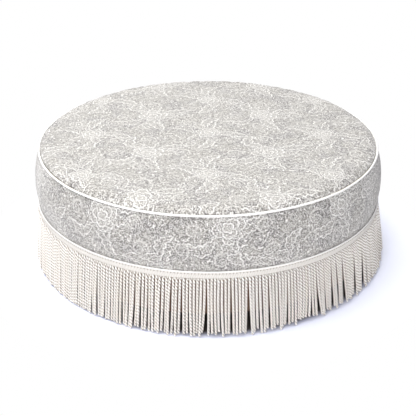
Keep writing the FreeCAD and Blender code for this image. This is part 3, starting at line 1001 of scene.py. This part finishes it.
def sag(radius, height, angles):
    """The unevenness of cut foam and laid wadding."""
    x, y = radius * np.cos(angles), radius * np.sin(angles)
    rough = 0.0002 * np.sin(60 * x + 2) * np.sin(55 * y) + 0.0001 * np.sin(140 * x + 90 * y)
    return rough * 0.5, -abs(rough)


def pad_profile(outer, bottom, top, corner, crown=0.0, rings=14):
    """Half outline of a round pad, from the axis underneath out and back to the axis on top."""
    turn = np.linspace(0, math.pi / 2, 5)
    r = np.linspace(0, outer - corner, rings)
    lower = np.stack([r, np.full(rings, bottom)], -1)
    under = np.stack([outer - corner + corner * np.sin(turn), bottom + corner - corner * np.cos(turn)], -1)[1:]
    over = np.stack([outer - corner + corner * np.cos(turn), top - crown - corner + corner * np.sin(turn)], -1)
    upper = np.stack([r[::-1], top - crown * (r[::-1] / r[-1]) ** 2], -1)[1:]
    return np.concatenate([lower, under, over, upper])


foam = spun_piece(
    "seat_foam_slab", pad_profile(0.4276, 0.2092, 0.2979, 0.003, 0.0004), 180, FOAM, ripple=sag
)
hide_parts("seat_foam")

under_cover = crown_profile(CLOTH + 0.0004)
wadding = spun_piece(
    "crown_wadding_layer",
    np.concatenate([
        np.stack([np.linspace(0, 0.4275, 30), np.full(30, 0.2983)], -1), under_cover[under_cover[:, 1] > 0.2986][::-1],
    ]),
    360, WADDING, ripple=lambda r, z, a: tuple(w * (z > 0.2984) for w in crown_ripple(r, z, a)),
)
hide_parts("crown_wadding")

outer_line = band_line[(band_line[:, 0] > 0.4355) & (band_line[:, 1] > 0.049) & (band_line[:, 1] < 0.2846)]
outer_line = outer_line - [CLOTH + 0.0005, 0.0]
inner_line = np.stack([np.full(16, 0.4284), np.linspace(0.284, 0.0476, 16)], -1)
side_padding = spun_piece(
    "side_padding_foam", np.concatenate([outer_line[::-1], inner_line]), 720, FOAM, closed=True,
    ripple=padding_ripple,
)
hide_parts("side_padding")


def disc(name, height, material, hole=0.0, dip=None):
    """A round sheet of cloth, with square holes of a half width where the screws of the feet pass."""
    r, turn, feet = np.linspace(0, DISC_RADIUS, 24), circle(96), np.array(FOOT_ANGLES)
    if hole:
        wide = hole / FOOT_CIRCLE
        turn = turn[np.abs(turn[:, None] - feet).min(1) > 2 * wide]
        turn = np.sort(np.concatenate([turn, feet - wide, feet + wide]))
        r = np.sort([*r[np.abs(r - FOOT_CIRCLE) > 2 * hole], FOOT_CIRCLE - hole, FOOT_CIRCLE + hole])
    z = np.full(len(r), height) if dip is None else height - dip(r)
    points = spun_points(np.stack([r, z], -1)[::-1], turn)
    quads = grid(len(r), len(turn), ring=True)
    if hole:
        apart = points[quads].mean(1)[:, None, :2] - placed(FOOT_CIRCLE, feet, 0.0)[:, :2]
        quads = quads[np.linalg.norm(apart, axis=2).min(1) > hole * 0.5]
    return piece(name, points, quads, material, (points[:, :2], None), weld=True)


hessian = disc("platform_hessian_cloth", 0.2086, HESSIAN)
thicken(hessian, 0.0007)
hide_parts("platform_hessian")

dust = disc(
    "dust_cover_cloth", DUST_TOP, DUST, 0.0045, lambda r: 0.0022 * unit(1 - (r / 0.33) ** 2) ** 2,
)
thicken(dust, 0.0006)
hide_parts("dust_cover")

# Wire staples hold the dust cover up, set round its edge. Each is (place along it, place up its leg)
staple = [(-0.005, 0.0004), (-0.0049, 0.00012), (-0.0045, 0), (0.0045, 0), (0.0049, 0.00012), (0.005, 0.0004)]
staples = []
for turn in (np.arange(60) + 0.5) * TURN / 60:
    middle, side = placed(0.4105, turn, 0.04462), placed(1.0, turn + math.pi / 2, 0.0)
    staples.append([middle + side * x + [0, 0, z] for x, z in staple])
points, faces = tubes(staples, np.full((60, 6), 0.00035), 6)
piece("dust_cover_staples", points, faces, ZINC)

# Felt pads, as outlines drawn in by an inset at each height
felt_half = 0.0218
outline = round_corners(np.array([(-1, -1), (1, -1), (1, 1), (-1, 1)]) * felt_half, 0.002)
count = len(outline)
layers = ((0.006, 0.0), (0.001, 0.0), (0.0002, 0.0004), (0.0, 0.0012), (0.0002, 0.0029), (0.006, 0.0029))
ends = np.stack([np.arange(count)[::-1], np.arange(count) + (len(layers) - 1) * count])
for number, turn in enumerate(FOOT_ANGLES, 1):
    out, side = placed(1.0, turn, 0.0), placed(1.0, turn + math.pi / 2, 0.0)
    points = np.concatenate([
        (FOOT_CIRCLE + outline[:, :1] * (1 - inset / felt_half)) * out
        + outline[:, 1:] * (1 - inset / felt_half) * side + [0, 0, height]
        for inset, height in layers
    ])
    quads = grid(len(layers), count, ring=True)
    felt = piece(f"felt_pad_{number}", points, [quads, ends], FELT, (points[:, :2], None))
    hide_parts(f"foot_pad_{number}")


def strap_height(along, over_first):
    """Height of a strap's underside along it, over and under the straps that cross it."""
    lift = 0.00095
    places, heights = [-1.0, -(STRAPS // 2) * STRAP_SPACING - STRAP_HALF - 0.012], [0.0, 0.0]
    for n in range(STRAPS):
        x = (n - STRAPS // 2) * STRAP_SPACING
        here = lift if (n % 2 == 0) == over_first else -lift
        places += [x - STRAP_HALF, x + STRAP_HALF]
        heights += [here, here]
    places += [-places[1], 1.0]
    heights += [0.0, 0.0]
    step = np.clip(np.searchsorted(places, along, side="right") - 1, 0, len(places) - 2)
    share = (along - np.take(places, step)) / (np.take(places, step + 1) - np.take(places, step))
    share = share * share * (3 - 2 * share)
    return 0.205 + np.take(heights, step) * (1 - share) + np.take(heights, step + 1) * share


section = round_corners([(-0.0298, 0.00004), (0.0298, 0.00004), (0.0298, 0.00156), (-0.0298, 0.00156)], 0.0007, 3)
for way in ("across", "along"):
    for n in range(STRAPS):
        offset = (n - STRAPS // 2) * STRAP_SPACING
        reach = math.sqrt(STRAP_CIRCLE**2 - offset**2)
        along = np.linspace(-reach, reach, 220)
        height = strap_height(along, (n % 2 == 0) if way == "across" else (n % 2 == 1))
        x = np.repeat(along[:, None], len(section), 1)
        y = offset + np.repeat(section[None, :, 0], len(along), 0)
        z = height[:, None] + section[None, :, 1]
        points = np.stack([x, y, z], -1) if way == "across" else np.stack([y, x, z], -1)
        count = len(section)
        ends = np.stack([np.arange(count), np.arange(count)[::-1] + (len(along) - 1) * count])
        quads = grid(len(along), count, ring=True)[:, ::-1]
        if way == "across":
            quads, ends = quads[:, ::-1], ends[:, ::-1]
        flat = np.stack([x, y - offset], -1).reshape(-1, 2)
        points = points.reshape(-1, 3)
        web = piece(f"strap_{way}_web_{n + 1}", points, [quads, ends], JUTE, (flat, None))
        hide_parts(f"strap_{way}_{n + 1}")

# Studio


def floor_paint():
    """White seamless paper that keeps the tuffet's shadow and is seen through from underneath. To the camera it is
    painted near black under the tuffet as painted shade, and elsewhere brighter than white with a blue cast, so that
    only its shadow shows, with a painted lavender tint.
    """
    material = bpy.data.materials.new("white floor")
    material.use_nodes = True
    web = Web(material.node_tree)
    nodes = material.node_tree.nodes
    nodes.remove(nodes["Principled BSDF"])
    x, y, _ = web.split(object_spot(web))
    reach = web.math("SQRT", x * x + y * y)
    away = web.within(reach, 0.464, 0.48, 0.0, 0.3) + web.within(reach, 0.485, 0.62, 0.0, 0.7)
    # Painted shade: the paper under the tuffet is near black to the camera
    under = web.within(reach, 0.44, 0.468)
    paper = web.node("BsdfDiffuse", {"Color": (0.88, 0.88, 0.9, 1.0)})
    painted_shade_floor_tone = web.mixed(under, (0.1, 0.09, 0.08, 1.0), (1.05, 1.1, 1.3, 1.0))
    lit = web.node("BsdfDiffuse", {"Color": painted_shade_floor_tone})
    white = web.node("Emission", {"Color": (1.0, 1.0, 1.0, 1.0)})
    seen = web.node("MixShader", {0: away, 1: lit.outputs[0], 2: white.outputs[0]})
    ray = web.node("LightPath")
    mix = web.node("MixShader", {0: ray.outputs["Is Camera Ray"], 1: paper.outputs[0], 2: seen.outputs[0]})
    back = web.node("NewGeometry").outputs["Backfacing"]
    clear = web.node("BsdfTransparent")
    mix = web.node("MixShader", {0: back, 1: mix.outputs[0], 2: clear.outputs[0]})
    web.feed(nodes["Material Output"].inputs["Surface"], mix.outputs[0])
    return material


shape = bmesh.new()
bmesh.ops.create_grid(shape, x_segments=4, y_segments=4, size=7.0)
paper = bpy.data.meshes.new("studio_floor")
shape.to_mesh(paper)
shape.free()
floor = added("studio_floor", paper)
paper.materials.append(floor_paint())

world = bpy.data.worlds.new("studio")
bpy.context.scene.world = world
world.use_nodes = True
web = Web(world.node_tree)
sky = world.node_tree.nodes["Background"]
sky.inputs["Color"].default_value = (0.92, 0.92, 1.0, 1.0)
sky.inputs["Strength"].default_value = 0.39
backdrop = web.node("Background", {"Color": (1.0, 1.0, 1.0, 1.0), "Strength": 1.0})
ray = web.node("LightPath")
mix = web.node("MixShader", {0: ray.outputs["Is Camera Ray"], 1: sky.outputs[0], 2: backdrop.outputs[0]})
web.feed(world.node_tree.nodes["World Output"].inputs["Surface"], mix.outputs[0])


def softbox(name, place, aim, size, power, colour):
    light = bpy.data.lights.new(name, "AREA")
    light.shape = "RECTANGLE"
    light.size, light.size_y = size
    light.energy = power
    light.color = colour
    thing = added(name, light)
    thing.location = place
    way = np.array(aim, float) - np.array(place, float)
    tilt = math.acos(-way[2] / np.linalg.norm(way))
    thing.rotation_euler = (tilt, 0.0, math.atan2(-way[0], way[1]))


softbox("key_softbox", (-0.8, 0.35, 3.0), (0.0, 0.0, 0.2), (3.0, 3.0), 130.0, (1.0, 0.99, 0.97))
softbox("front_softbox", (-0.3, -3.3, 1.5), (0.0, 0.0, 0.15), (2.0, 1.3), 62.0, (0.985, 0.98, 1.0))

lens = bpy.data.cameras.new("camera")
lens.lens = 86.8
lens.sensor_width = 36.0
lens.clip_end = 50.0
camera = added("camera", lens)
camera.location = (-0.0003, -2.416, 1.318)
camera.rotation_euler = (math.radians(90 - 26.74), 0.0, 0.0)
bpy.context.scene.camera = camera
bpy.context.scene.view_settings.view_transform = "Standard"
